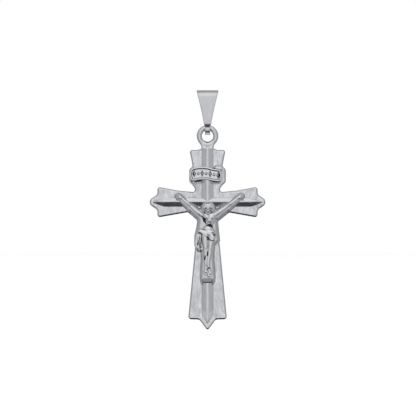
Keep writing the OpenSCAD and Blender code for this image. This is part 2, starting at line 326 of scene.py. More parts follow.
def smin(a, b, k):
    """Union of two fields, blended over the distance k."""
    h = np.clip(0.5 + 0.5 * (b - a) / k, 0, 1)
    return b + (a - b) * h - k * h * (1 - h)


def smax(a, b, k):
    return -smin(-a, -b, k)


def ball(p, c, r):
    return np.linalg.norm(p - np.array(c, np.float32), axis=1) - r


def egg(p, c, radii, turn=0.0, nod=0.0):
    """An ellipsoid, turned by degrees in the front plane and then nodded forwards."""
    q = p - np.array(c, np.float32)
    a, b = math.radians(turn), math.radians(nod)
    x = q[:, 0] * math.cos(a) + q[:, 2] * math.sin(a)
    z = -q[:, 0] * math.sin(a) + q[:, 2] * math.cos(a)
    y = q[:, 1] * math.cos(b) + z * math.sin(b)
    z = -q[:, 1] * math.sin(b) + z * math.cos(b)
    q = np.stack([x, y, z], 1)
    radii = np.array(radii, np.float32)
    k0 = np.linalg.norm(q / radii, axis=1)
    k1 = np.linalg.norm(q / radii ** 2, axis=1)
    return k0 * (k0 - 1) / np.maximum(k1, 1e-6)


def limb(p, a, b, ra, rb):
    """A rounded cone between two joints."""
    a, b = np.array(a, np.float32), np.array(b, np.float32)
    along = b - a
    t = np.clip((p - a) @ along / max(float(along @ along), 1e-9), 0, 1)
    near = p - a - t[:, None] * along
    return np.linalg.norm(near, axis=1) - (ra + (rb - ra) * t)


def close_to(p, places, reach, field):
    """Works a field out only near its places; elsewhere the distance to their box stands in."""
    places = np.array(places, np.float32)
    low, high = places.min(0) - reach, places.max(0) + reach
    gap = np.linalg.norm(np.maximum(np.maximum(low - p, p - high), 0), axis=1)
    out = gap + 0.25
    near = gap < 0.4
    if near.any():
        out[near] = field(p[near])
    return out


def strand(p, points, radii, k=0.05):
    """Limbs joined end to end."""
    field = None
    for a, b, ra, rb in zip(points, points[1:], radii, radii[1:]):
        part = limb(p, a, b, ra, rb)
        field = part if field is None else smin(field, part, k)
    return field


def curve(p, points, radii, steps=4):
    """A strand along a smooth curve through its joints."""
    rows = np.column_stack([np.array(points), radii])
    rows = np.concatenate([2 * rows[:1] - rows[1:2], rows, 2 * rows[-1:] - rows[-2:-1]])
    out = []
    for a, b, c, d in zip(rows, rows[1:], rows[2:], rows[3:]):
        for t in np.arange(steps) / steps:
            out.append((2 * b + (c - a) * t + (2 * a - 5 * b + 4 * c - d) * t ** 2
                        + (3 * b - a - 3 * c + d) * t ** 3) / 2)
    out.append(rows[-2])
    def joined(q):
        field = limb(q, out[0][:3], out[1][:3], out[0][3], out[1][3])
        for a, b in zip(out[1:], out[2:]):
            field = np.minimum(field, limb(q, a[:3], b[:3], a[3], b[3]))
        return field
    return close_to(p, np.array(out)[:, :3], max(radii) + 0.25, joined)


def outline_distance(p, corners):
    """Signed distance in the front plane to a closed outline of (x, z) corners."""
    q = p[:, [0, 2]]
    best = np.full(len(q), 1e9, np.float32)
    inside = np.zeros(len(q), bool)
    for (x1, z1), (x2, z2) in zip(corners, corners[1:] + corners[:1]):
        a, d = np.array([x1, z1], np.float32), np.array([x2 - x1, z2 - z1], np.float32)
        t = np.clip((q - a) @ d / max(float(d @ d), 1e-9), 0, 1)
        best = np.minimum(best, np.linalg.norm(q - a - t[:, None] * d, axis=1))
        if z1 != z2:
            crosses = (z1 > q[:, 1]) != (z2 > q[:, 1])
            inside ^= crosses & (q[:, 0] < (x2 - x1) * (q[:, 1] - z1) / (z2 - z1) + x1)
    return np.where(inside, -best, best)


EDGES = [(a, b) for a in range(8) for b in range(a + 1, 8) if bin(a ^ b).count("1") == 1]


def bits(c):
    return np.array([c & 1, c >> 1 & 1, c >> 2 & 1])


def field_mesh(name, field, low, high, voxel):
    """The zero surface of a field inside a box, with a vertex in each cell that it crosses."""
    low, high = np.array(low, float), np.array(high, float)
    block = 4
    count = (np.ceil((high - low) / voxel / block).astype(int) + 1) * block
    axes = [(low[i] + voxel * np.arange(count[i])).astype(np.float32) for i in range(3)]
    coarse_axes = [a[::block] + voxel * block / 2 for a in axes]
    coarse = np.stack(np.meshgrid(*coarse_axes, indexing="ij"), -1).reshape(-1, 3)
    values = field(coarse).reshape([len(a) for a in coarse_axes])
    for i in range(3):
        values = np.repeat(values, block, axis=i)
    near = np.argwhere(np.abs(values) < voxel * block * 1.6)
    values[tuple(near.T)] = field((low + near * voxel).astype(np.float32))

    inside = values < 0
    corner_sum = sum(inside[tuple(slice(b, n - 1 + b) for b, n in zip(bits(c), count))].astype(np.int8)
                     for c in range(8))
    cells = np.argwhere((corner_sum > 0) & (corner_sum < 8))
    index = np.full(corner_sum.shape, -1)
    index[tuple(cells.T)] = np.arange(len(cells))
    total, hits = np.zeros((len(cells), 3)), np.zeros(len(cells))
    for a, b in EDGES:
        fa, fb = values[tuple((cells + bits(a)).T)], values[tuple((cells + bits(b)).T)]
        cross = (fa < 0) != (fb < 0)
        t = fa / np.where(cross, fa - fb, 1)
        total += np.where(cross[:, None], bits(a) + (bits(b) - bits(a)) * t[:, None], 0)
        hits += cross
    points = (low + voxel * (cells + total / hits[:, None])).astype(np.float32)

    faces = []
    for d in range(3):
        u, v = (d + 1) % 3, (d + 2) % 3
        step = np.eye(3, dtype=int)
        here = [slice(1, n - 1) for n in count]
        there = list(here)
        here[d], there[d] = slice(0, count[d] - 1), slice(1, count[d])
        flips = inside[tuple(here)] != inside[tuple(there)]
        start = np.argwhere(flips) + np.array([0 if i == d else 1 for i in range(3)])
        quad = np.stack([index[tuple((start - step[u] - step[v]).T)], index[tuple((start - step[v]).T)],
                         index[tuple(start.T)], index[tuple((start - step[u]).T)]], 1)
        outward = inside[tuple(start.T)]
        faces.append(np.where(outward[:, None], quad, quad[:, ::-1]))
    faces = np.concatenate(faces)
    faces = faces[(faces >= 0).all(1)]

    for _ in range(2):
        value, slope = field(points), gradient(field, points, voxel / 4)
        points -= (value / np.maximum((slope ** 2).sum(1), 0.25))[:, None] * slope
    return mesh_from(name, points, faces), points


def gradient(field, points, h):
    slope = np.zeros_like(points)
    for i in range(3):
        move = np.zeros(3, np.float32)
        move[i] = h
        slope[:, i] = (field(points + move) - field(points - move)) / (2 * h)
    return slope


def paint_hollow_shade(mesh, points, around, reach, strength, cuts=None):
    """Stores in the attribute "cavity" how shut in each vertex is by the field around it, or by deep cuts:
    painted shade, which darkens the colour there.
    """
    normal = gradient(around, points, 0.02)
    normal /= np.maximum(np.linalg.norm(normal, axis=1), 1e-6)[:, None]
    shut = np.zeros(len(points))
    for share in (0.25, 0.5, 1.0):
        d = reach * share
        shut += np.clip(1 - around(points + normal * d) / d, 0, 1) / 3
    painted_shade = np.clip((shut - 0.25) * strength, 0, 1)
    if cuts:
        # Deep cuts are painted darkest, as shade
        painted_shade = np.maximum(painted_shade, np.clip(1.1 - cuts(points) / 0.1, 0, 1) ** 1.5)
    mesh.attributes.new("painted_shade", "FLOAT", "POINT").data.foreach_set("value", painted_shade.astype(np.float32))


# ---- Figure ----

def at(x, up, z):
    """A place by its x, its height above the bed and its height from the arm bars."""
    return (x, BED - up, ARM_Z + z)


def engraved(p, field, line, width, depth):
    """A field cut in along a line of (x, z) places; a negative depth raises it instead."""
    places = [(x, 0, ARM_Z + z) for x, z in line]
    flat = p * np.array([1, 0, 1], np.float32)
    d = close_to(flat, places, 3 * width, lambda q: strand(q, places, [0] * len(line)))
    return field + depth * np.exp(-(d / width) ** 2)


# Each limb as joints from the trunk outwards, with the radius at each
ARMS = {
    "left": ([at(-1.15, 0.1, -2.65), at(-2.15, 0.16, -2.0), at(-3.4, 0.08, -0.92),
              at(-4.15, 0.12, -0.2), at(-5.3, 0.05, 0.72)], [0.5, 0.44, 0.32, 0.34, 0.22]),
    "right": ([at(1.6, 0.1, -2.6), at(2.6, 0.16, -1.9), at(4.1, 0.08, -0.85),
               at(4.95, 0.12, -0.2), at(6.25, 0.05, 0.75)], [0.5, 0.44, 0.32, 0.34, 0.22]),
}
LEGS = {
    "left": ([at(-0.55, 0.12, -6.5), at(-0.5, 0.2, -8.0), at(-0.4, 0.3, -9.3),
              at(-0.36, 0.2, -10.7), at(-0.38, 0.12, -12.3), at(-0.32, 0.1, -13.1)],
             [0.76, 0.74, 0.58, 0.54, 0.4, 0.34]),
    "right": ([at(0.95, 0.12, -6.5), at(0.75, 0.22, -8.0), at(0.55, 0.34, -9.4),
               at(0.42, 0.28, -10.8), at(0.14, 0.3, -12.3), at(0.14, 0.32, -13.1)],
              [0.72, 0.68, 0.54, 0.52, 0.4, 0.36]),
}


def hand(p, wrist, turn, side):
    """A flat open hand, its fingers slightly bent, turned by degrees in the front plane."""
    a = math.radians(turn)
    out = np.array([math.cos(a), 0, math.sin(a)]) * side
    over = np.array([-math.sin(a), 0, math.cos(a)])
    forward = np.array([0, -1, 0])
    wrist = np.array(wrist)
    palm = wrist + out * 0.48
    field = smin(limb(p, wrist, palm, 0.22, 0.26), egg(p, palm, (0.42, 0.22, 0.33), turn), 0.12)
    for i in (-1.5, -0.5, 0.5, 1.5):
        root = palm + out * 0.28 + over * (0.15 * i) + forward * 0.04
        bend = root + out * (0.36 - 0.04 * abs(i)) + over * (0.03 * i) + forward * 0.1
        tip = bend + out * 0.3 - forward * 0.14
        field = smin(field, strand(p, [root, bend, tip], [0.085, 0.085, 0.07], 0.02), 0.035)
    thumb = palm + over * 0.25 + out * 0.02
    return smin(field, strand(p, [palm, thumb, thumb + out * 0.26 + over * 0.08 + forward * 0.08],
                              [0.16, 0.12, 0.08], 0.03), 0.06)


def skin(p):
    """The trunk, arms, legs and feet."""
    chest = smin(egg(p, at(0.42, 0.05, -3.3), (1.18, 0.86, 1.5), 12),
                 limb(p, at(-1.0, 0.1, -2.65), at(1.45, 0.1, -2.6), 0.5, 0.5), 0.4)
    chest = smin(chest, egg(p, at(-0.2, 0.5, -3.0), (0.62, 0.42, 0.56), -14), 0.3)
    chest = smin(chest, egg(p, at(0.98, 0.5, -3.0), (0.62, 0.42, 0.56), 14), 0.3)
    waist = limb(p, at(0.4, -0.1, -4.2), at(0.35, -0.02, -5.5), 0.74, 0.76)
    belly = egg(p, at(0.14, 0.05, -5.78), (1.14, 0.8, 0.86))
    hips = egg(p, at(0.2, 0.1, -6.5), (1.25, 0.7, 0.9))
    field = smin(smin(chest, waist, 0.25), smin(belly, hips, 0.3), 0.2)
    # Collar bones, breast bone, ribs, and the belly's middle line
    for side, x in ((-1, -0.95), (1, 1.35)):
        field = engraved(p, field, [(0.2 + side * 0.12, -2.45), (x, -2.3)], 0.09, -0.05)
        for i in range(3):
            z = -3.4 - 0.3 * i
            field = engraved(p, field, [(0.35 + side * 0.5, z), (0.35 + side * 1.0, z - 0.2)], 0.08, 0.02)
    field = engraved(p, field, [(0.27, -2.75), (0.3, -3.7)], 0.09, 0.05)
    throat = limb(p, at(0.12, 0.35, -1.9), at(0.2, 0.15, -2.75), 0.42, 0.5)
    field = smin(field, throat, 0.2)
    for side, (joints, radii) in ARMS.items():
        field = smin(field, curve(p, joints, radii), 0.16)
    for side, turn, sign in (("left", -30, -1), ("right", 30, 1)):
        wrist = ARMS[side][0][-1]
        field = smin(field, close_to(p, [wrist], 1.9, lambda q: hand(q, wrist, turn, sign)), 0.1)
    legs = [curve(p, joints, radii) for joints, radii in LEGS.values()]
    legs[0] = smin(legs[0], egg(p, at(-0.4, 0.68, -9.25), (0.28, 0.18, 0.42)), 0.25)
    legs[1] = smin(legs[1], egg(p, at(0.57, 0.7, -9.4), (0.28, 0.18, 0.42)), 0.25)
    feet = ((at(-0.32, 0.1, -13.15), at(-0.36, 0.06, -15.0), -1),
            (at(0.14, 0.34, -13.15), at(0.66, 0.34, -15.4), 1))
    for i, (ankle, toes, sign) in enumerate(feet):
        part = close_to(p, [ankle, toes], 1.0, lambda q: foot(q, ankle, toes, sign))
        legs[i] = smin(legs[i], part, 0.12)
    field = smin(field, smin(legs[0], legs[1], 0.16), 0.12)
    return smax(field, -skin_cuts(p), 0.12)


def groove(p, line, radii, floor):
    """A cut along a line of (x, z) places, open to the front, down to a height above the bed."""
    places = [(x, 0, ARM_Z + z) for x, z in line]
    flat = p * np.array([1, 0, 1], np.float32)
    return np.maximum(close_to(flat, places, 0.5, lambda q: strand(q, places, radii)), p[:, 1] - BED + floor)


def side_cut(p):
    """The deep cut between the ribs and the bed."""
    return groove(p, [(-0.82, -3.4), (-0.56, -3.85), (-0.2, -4.4)], [0.2, 0.3, 0.14], -0.3)


def skin_cuts(p):
    """Deep cuts in the figure: beside and under the ribs, under the hem, by the shins, over the feet."""
    field = side_cut(p)
    for line, radii, floor in (
            ([(0.0, -4.86), (0.5, -4.86), (0.98, -5.1)], [0.12, 0.27, 0.18], 0.2),
            ([(-0.1, -7.24), (0.35, -7.72), (0.85, -7.96), (1.4, -7.88), (1.75, -7.6)], [0.12] * 5, 0.45),
            ([(0.05, -10.4), (0.0, -11.2)], [0.05, 0.07], 0.3),
            ([(-0.5, -11.3), (-0.58, -12.0)], [0.08, 0.1], 0.05)):
        field = np.minimum(field, groove(p, line, radii, floor))
    return np.minimum(field, ball(p, at(0.32, 0.74, -13.82), 0.2))


def foot(p, ankle, toes, side):
    """A foot pointing down, its big toe towards the other foot."""
    ankle, toes = np.array(ankle), np.array(toes)
    pad = ankle + (toes - ankle) * 0.76
    field = smin(limb(p, ankle, pad, 0.3, 0.36), egg(p, pad, (0.56, 0.36, 0.5)), 0.15)
    for x, reach, r in ((0.4, 0.62, 0.16), (0.17, 0.63, 0.12), (-0.03, 0.58, 0.115), (-0.21, 0.5, 0.11),
                        (-0.37, 0.4, 0.1)):
        root = pad + np.array([-side * x * 0.85, -0.2, -0.1])
        tip = pad + np.array([-side * x, -0.18, -reach])
        field = smin(field, limb(p, root, tip, r, r), 0.06)
    return field


def cloth(p):
    """The loincloth: tucked over itself in front, knotted at the left hip, one end hanging."""
    x, z = p[:, 0], p[:, 2] - ARM_Z
    top = np.interp(x, [-2.5, -1.95, -1.5, -0.4, 0.4, 0.95, 1.6, 2.0],
                    [-6.7, -5.9, -5.58, -5.5, -5.75, -6.0, -6.5, -7.0])
    hem = np.interp(x, [-2.4, -1.6, -1.0, -0.16, 0.3, 0.95, 1.5, 1.8],
                    [-7.1, -6.6, -6.6, -7.3, -7.7, -8.05, -7.8, -7.1])
    under = smin(egg(p, at(0.2, 0.15, -6.5), (1.38, 0.86, 1.0)),
                 limb(p, at(-0.7, 0.2, -6.4), at(-0.65, 0.45, -8.0), 0.78, 0.7), 0.2)
    under = smin(under, limb(p, at(1.02, 0.2, -6.4), at(0.95, 0.5, -8.0), 0.8, 0.74), 0.2)
    under = smin(under, egg(p, at(-1.3, 0.2, -6.15), (0.95, 0.68, 0.62), -15), 0.2)
    field = smax(smax(under, z - top, 0.14), hem - z, 0.12)
    # Folds sweep from the knot down to the right thigh
    folds = [((-1.6, -5.75), (-0.3, -6.05), (0.7, -6.35), (1.6, -6.55)),
             ((-1.6, -5.9), (-0.4, -6.4), (0.5, -6.85), (1.45, -7.05)),
             ((-1.6, -6.05), (-0.5, -6.7), (0.4, -7.25), (1.2, -7.45)),
             ((-1.6, -6.2), (-0.75, -6.85), (-0.05, -7.2), (0.75, -7.7))]
    for line in folds:
        field = engraved(p, field, line, 0.14, -0.05)
    # The tuck at the right, with its dark fold
    field = smin(field, strand(p, [at(0.9, 0.85, -6.25), at(1.45, 0.8, -6.65), at(1.62, 0.55, -7.15),
                                   at(1.2, 0.75, -7.72)], [0.16, 0.2, 0.22, 0.14], 0.06), 0.06)
    knot = smin(egg(p, at(-1.62, 0.55, -6.1), (0.5, 0.34, 0.38), 25),
                limb(p, at(-2.0, 0.35, -6.3), at(-1.2, 0.6, -5.95), 0.3, 0.26), 0.08)
    field = smin(field, knot, 0.07)
    drape = [
        curve(p, [at(-1.8, 0.25, -6.0), at(-2.2, 0.2, -7.0), at(-2.4, 0.1, -8.2),
                  at(-2.3, 0.1, -9.2), at(-2.05, 0.05, -9.9)], [0.3, 0.32, 0.27, 0.3, 0.2]),
        curve(p, [at(-1.6, 0.35, -6.2), at(-1.82, 0.33, -7.1), at(-1.98, 0.3, -8.3),
                  at(-1.86, 0.22, -9.4), at(-1.65, 0.15, -10.2)], [0.28, 0.27, 0.2, 0.24, 0.16]),
        curve(p, [at(-1.45, 0.3, -6.3), at(-1.45, 0.25, -7.4), at(-1.5, 0.16, -8.6),
                  at(-1.42, 0.08, -9.5)], [0.24, 0.22, 0.18, 0.13]),
    ]
    for part in drape:
        field = smin(field, part, 0.16)
    return smax(field, -cloth_cuts(p), 0.1)


def cloth_cuts(p):
    """Deep folds in the tuck and in the hanging end."""
    field = groove(p, [(1.02, -6.42), (1.42, -6.88)], [0.13, 0.17], 0.7)
    for line, radii in (([(-1.6, -7.4), (-1.74, -8.2), (-1.62, -8.8)], [0.05, 0.18, 0.1]),
                        ([(-1.95, -8.5), (-2.1, -8.95)], [0.09, 0.08]),
                        ([(-1.66, -9.0), (-1.5, -9.5)], [0.07, 0.1])):
        field = np.minimum(field, groove(p, line, radii, 0.1))
    return field


# The head's height
HEAD_HEIGHT = 2.3


def head_frame(p):
    """Points in the head's own frame: x across, y forwards and z up, in head heights."""
    nod = math.radians(14)
    q = (p - np.array(at(0.1, 0.62, -1.3), np.float32)) / HEAD_HEIGHT
    forward = -q[:, 1] * math.cos(nod) + q[:, 2] * math.sin(nod) * -1
    up = q[:, 2] * math.cos(nod) - q[:, 1] * math.sin(nod)
    return np.stack([q[:, 0], forward, up], 1).astype(np.float32)


def head(p):
    """A calm, closed-eyed face on even proportions, with parted hair to the shoulders and a short beard."""
    q = head_frame(p)
    skull = egg(q, (0, -0.06, 0.12), (0.31, 0.37, 0.38))
    jaw = egg(q, (0, 0.09, -0.2), (0.22, 0.25, 0.3))
    face = smin(skull, jaw, 0.1)
    for side in (-1, 1):
        face = smin(face, egg(q, (side * 0.18, 0.24, -0.07), (0.1, 0.08, 0.09)), 0.06)
        face = smax(face, -egg(q, (side * 0.135, 0.375, 0.0), (0.095, 0.06, 0.055)), 0.04)
        face = smin(face, egg(q, (side * 0.135, 0.285, -0.005), (0.075, 0.05, 0.042)), 0.012)
        face = smin(face, strand(q, [(side * 0.05, 0.325, 0.075), (side * 0.14, 0.315, 0.1),
                                     (side * 0.22, 0.255, 0.07)], [0.022, 0.026, 0.018], 0.02), 0.03)
        lid = strand(q, [(side * 0.07, 0.335, -0.012), (side * 0.135, 0.345, -0.03),
                         (side * 0.2, 0.31, -0.012)], [0.009, 0.009, 0.009], 0.01)
        face = smax(face, -lid, 0.012)
        face = smin(face, ball(q, (side * 0.045, 0.35, -0.18), 0.034), 0.02)
        face = smin(face, strand(q, [(0, 0.36, -0.235), (side * 0.08, 0.33, -0.262),
                                     (side * 0.15, 0.27, -0.34)], [0.03, 0.032, 0.02], 0.02), 0.02)
    face = smin(face, strand(q, [(0, 0.325, 0.06), (0, 0.365, -0.05), (0, 0.405, -0.165)],
                             [0.025, 0.03, 0.042], 0.02), 0.035)
    face = smin(face, egg(q, (0, 0.315, -0.315), (0.075, 0.04, 0.028)), 0.015)
    face = smax(face, -strand(q, [(-0.07, 0.35, -0.287), (0.07, 0.35, -0.287)], [0.009, 0.009]), 0.01)
    beard = egg(q, (0, 0.13, -0.4), (0.2, 0.2, 0.17))
    beard = smin(beard, strand(q, [(-0.23, 0.1, -0.12), (-0.19, 0.18, -0.33), (0, 0.26, -0.46),
                                   (0.19, 0.18, -0.33), (0.23, 0.1, -0.12)],
                               [0.04, 0.06, 0.07, 0.06, 0.04], 0.03), 0.05)
    beard = beard + 0.008 * np.sin(q[:, 0] * 75) * np.clip(-q[:, 2] * 4, 0, 1)
    face = smin(face, beard, 0.02)

    hair = egg(q, (0, -0.1, 0.16), (0.375, 0.4, 0.385))
    opening = egg(q, (0, 0.42, -0.12), (0.235, 0.36, 0.4))
    hair = smax(hair, -opening, 0.05)
    for side in (-1, 1):
        lock = strand(q, [(side * 0.2, 0.12, 0.36), (side * 0.34, 0.12, 0.1), (side * 0.36, 0.1, -0.2),
                          (side * 0.4, 0.06, -0.5), (side * 0.34, 0.08, -0.78)],
                      [0.1, 0.12, 0.12, 0.11, 0.06], 0.05)
        hair = smin(hair, lock, 0.05)
    # Waves run along the locks, away from the parting
    waves = np.sin(np.abs(q[:, 0]) * 62 + q[:, 2] * 9 + 2.2 * np.sin(q[:, 2] * 11))
    hair = hair + 0.009 * waves * np.clip(0.35 - q[:, 2], 0, 0.3) / 0.3
    hair = hair + 0.03 * np.exp(-(q[:, 0] / 0.018) ** 2) * np.clip(q[:, 2] * 5 - 0.6, 0, 1)
    return smin(face, hair, 0.012) * HEAD_HEIGHT


def head_near(p):
    return close_to(p, [at(0.1, 0.6, -0.2), at(0.1, 0.6, -3.0)], 1.3, head)


def cloth_near(p):
    return close_to(p, [at(-2.6, 0.3, -5.6), at(1.8, 0.9, -10.3)], 0.6, cloth)


def figure(p):
    return np.minimum(np.minimum(skin(p), cloth_near(p)), head_near(p))


# ---- Bed, foot rest and scroll ----

def stroke(p, a, b, ra, rb):
    """A stroke in the front plane between two (x, z) places, z from the arm bars."""
    return limb(p * np.array([1, 0, 1], np.float32), (a[0], 0, ARM_Z + a[1]), (b[0], 0, ARM_Z + b[1]), ra, rb)


TRUNK_BED = [
    (-2.0, -2.2), (2.05, -2.2), (1.95, -4.0), (2.1, -5.6), (2.38, -8.0), (1.5, -9.0), (1.32, -10.5),
    (1.3, -12.4), (1.48, -14.0), (1.6, -15.6), (1.5, -16.6), (1.15, -17.3), (0.95, -17.3),
    (0.75, -16.75), (-0.75, -16.75), (-0.95, -17.3), (-1.15, -17.3), (-1.45, -16.6), (-1.5, -15.6),
    (-1.42, -14.0), (-1.28, -12.0), (-1.32, -10.5), (-2.15, -10.15), (-2.5, -9.0), (-2.5, -7.0),
    (-2.15, -5.6), (-1.9, -4.0)
]


def bed(p):
    """The smooth raised flank around the figure, with sloping sides."""
    flat = smin(stroke(p, (0.14, -1.35), (0.14, -1.45), 1.7, 1.7),
                outline_distance(p, [(x, ARM_Z + z) for x, z in TRUNK_BED]) - 0.15, 0.3)
    flat = smin(flat, stroke(p, (-1.3, -2.9), (-3.5, -1.2), 1.15, 0.95), 0.3)
    flat = smin(flat, stroke(p, (-3.5, -1.2), (-6.1, 1.15), 0.95, 0.88), 0.3)
    flat = smin(flat, stroke(p, (1.7, -2.85), (4.2, -1.1), 1.15, 0.95), 0.3)
    flat = smin(flat, stroke(p, (4.2, -1.1), (7.05, 1.2), 0.95, 0.88), 0.3)
    rise = FRONT - p[:, 1]
    side = (flat + 0.5 * np.clip(rise, -0.4, 1)) / 1.12
    field = smax(side, BED - p[:, 1], 0.42)
    # Dark hollow beside the ribs
    field = smax(field, -side_cut(p), 0.08)
    return np.maximum(field, p[:, 1] - FRONT - 0.3)


def ledge(p):
    """The foot rest: a small apron below the toes, sloping back to the bed."""
    low, high = np.array(foot_low), np.array(foot_high)
    x, up, z = p[:, 0] - (low[0] + high[0]) / 2, BED - p[:, 1], p[:, 2]
    half = (high[0] - low[0]) / 2
    down = high[2] - 0.3 - z
    field = smax(np.abs(x) - half - 0.05 + 0.16 * down, -down, 0.35)
    field = smax(field, down - 1.25, 0.6)
    return np.maximum(smax(field, up - 0.48 + 0.24 * down, 0.25), -up - 0.2)


def scroll_place(x, s, up=0.0):
    """A place on the scroll by x, height from its middle and height above the plate."""
    return (x, FRONT - up, SCROLL_Z + s)


SCROLL_SLAB = [(-3.5, -0.6), (-3.6, 0.4), (-3.2, 1.25), (-2.0, 1.6), (-0.3, 1.7), (0.9, 1.4),
               (2.2, 1.15), (2.75, 0.8), (2.8, -0.8), (2.3, -1.1), (0.6, -0.85), (-0.5, -0.75),
               (-1.8, -0.75), (-3.1, -0.95)]
SCROLL_RIM = [(-3.3, -0.76), (-3.58, 0.26), (-3.32, 1.2), (-2.65, 1.5), (-1.72, 1.64), (-0.4, 1.64),
              (0.7, 1.4), (1.5, 1.22), (2.25, 1.12), (2.66, 0.85), (2.8, 0.17), (2.76, -0.7),
              (2.35, -1.06), (1.44, -1.0), (0.6, -0.83), (-0.2, -0.68), (-1.0, -0.7), (-1.8, -0.72),
              (-2.5, -0.88), (-3.05, -0.95), (-3.3, -0.76)]


SCROLL_BACKING = [[(2.85, -0.8), (2.7, -1.45), (0.9, -1.45), (0.6, -0.8)],
                  [(-0.75, -0.7), (-0.9, -1.25), (-2.4, -1.5), (-3.4, -1.5), (-3.4, -0.9)]]


def scroll_gaps(p):
    """The gaps between the rim and the turned-back strips, and round the foot of the ribbon, where the colour
    is painted dark as shade.
    """
    flat = p * np.array([1, 0, 1], np.float32)
    right = strand(flat, [(0.9, 0, SCROLL_Z - 1.12), (2.5, 0, SCROLL_Z - 1.3)], [0.14, 0.1])
    left = strand(flat, [(-0.95, 0, SCROLL_Z - 0.98), (-2.5, 0, SCROLL_Z - 1.14)], [0.1, 0.16])
    return np.maximum(np.minimum(right, left), FRONT - 0.34 - p[:, 1])


def gem(p, centre):
    q = np.abs(p - centre)
    return (q[:, 0] / 0.4 + q[:, 2] / 0.78 + q[:, 1] / 0.34 - 1) * 0.25


def scroll(p):
    """A ribbon with a raised rim, its ends curled at the top right and the lower left."""
    slab = smax(outline_distance(p, [(x, SCROLL_Z + s) for x, s in SCROLL_SLAB]),
                FRONT - 0.66 - p[:, 1], 0.1)
    field = slab
    rim = curve(p, [scroll_place(x, s, 0.92) for x, s in SCROLL_RIM], [0.19] * len(SCROLL_RIM))
    skirt = curve(p, [scroll_place(x, s, 0.45) for x, s in SCROLL_RIM], [0.22] * len(SCROLL_RIM))
    field = smin(field, smin(rim, skirt, 0.12), 0.03)
    # Backing behind the gaps below the rim
    for corners in SCROLL_BACKING:
        backing = outline_distance(p, [(x, SCROLL_Z + s) for x, s in corners])
        field = np.minimum(field, smax(backing, FRONT - 0.22 - p[:, 1], 0.05))
    # Turned-back strips below, and the two curls
    field = smin(field, curve(p, [scroll_place(x, s, u) for x, s, u in (
        (2.8, -0.75, 0.7), (2.62, -1.35, 0.6), (1.9, -1.55, 0.58), (1.2, -1.5, 0.55), (0.7, -1.35, 0.45))],
        [0.14, 0.15, 0.17, 0.16, 0.1]), 0.03)
    field = smin(field, curve(p, [scroll_place(x, s, u) for x, s, u in (
        (-0.7, -1.15, 0.45), (-1.4, -1.35, 0.55), (-2.1, -1.4, 0.58), (-2.5, -1.55, 0.6),
        (-2.9, -1.85, 0.6), (-3.35, -1.6, 0.6), (-3.55, -1.1, 0.7), (-3.3, -0.8, 0.8))],
        [0.1, 0.14, 0.15, 0.15, 0.15, 0.15, 0.14, 0.12]), 0.03)
    field = smin(field, smax(egg(p, scroll_place(-3.0, -1.25, 0.1), (0.6, 0.6, 0.6)),
                             FRONT - 0.42 - p[:, 1], 0.1), 0.05)
    curl = smax(egg(p, scroll_place(2.25, 1.55, 0.1), (0.95, 0.9, 0.72)), FRONT - 0.7 - p[:, 1], 0.2)
    field = smin(field, curl, 0.04)
    field = smin(field, curve(p, [scroll_place(x, s, u) for x, s, u in (
        (1.35, 1.5, 0.5), (1.6, 2.0, 0.62), (2.15, 2.2, 0.66), (2.8, 2.0, 0.62), (3.05, 1.3, 0.6),
        (2.85, 0.8, 0.7))], [0.1, 0.13, 0.14, 0.14, 0.14, 0.12]), 0.04)
    # Ornament: lozenges and beads in turn
    for i in range(7):
        x, s = -2.78 + 0.83 * i, (0.4, 0.45, 0.48, 0.44, 0.36, 0.22, 0.05)[i]
        c = np.array(scroll_place(x, s, 0.66), np.float32)
        if i % 2:
            field = smin(field, close_to(p, [c], 0.4, lambda q: ball(q, c, 0.27)), 0.03)
        else:
            field = smin(field, close_to(p, [c], 1.0, lambda q: gem(q, c)), 0.03)
    return np.maximum(field, p[:, 1] - FRONT - 0.1)


# ---- Ridge bars ----

def ease(t):
    t = min(max(t, 0.0), 1.0)
    return t * t * (3 - 2 * t)


def ridge_bar(name, node, body, stations, shift=0.0):
    """A roof-shaped bar from stations (along x or z, half width, wall, ridge height), its apex shifted."""
    across = np.concatenate([-np.cos(np.linspace(0, math.pi / 2, 9))[:-1] * 0.12 - 0.88,
                             np.linspace(-0.88, 0.88, 31),
                             np.cos(np.linspace(0, math.pi / 2, 9))[1:][::-1] * 0.12 + 0.88])
    across = np.unique(np.round(across, 5))
    points = []
    upright = node == "upright_bar"
    for along, half, wall, ridge in stations:
        for u in across:
            apex = shift / max(half, 0.2) if shift else 0.0
            share = (1 - u) / (1 - apex) if u > apex else (1 + u) / (1 + apex)
            blunt = math.sqrt(max(0.9 - share, 0) ** 2 + 0.002) - math.sqrt(0.002)
            height = wall + (ridge - wall) * (1 - blunt / 0.86)
            edge = min((1 - abs(u)) / 0.12, 1)
            height *= math.sqrt(max(1 - (1 - edge) ** 2, 0)) * 0.999 + 0.001
            v = u * half
            points.append((v, FRONT - height, along) if upright else (along, FRONT - height, ARM_Z + v))
        for u in (across[-1], across[0]):
            v = u * half
            points.append((v, FRONT + 0.03, along) if upright else (along, FRONT + 0.03, ARM_Z + v))
    mesh = outward_mesh(name, points, tube_faces(len(stations), len(across) + 2))
    return finish_piece(name, mesh, body, CALM if upright else WAVY, [node])


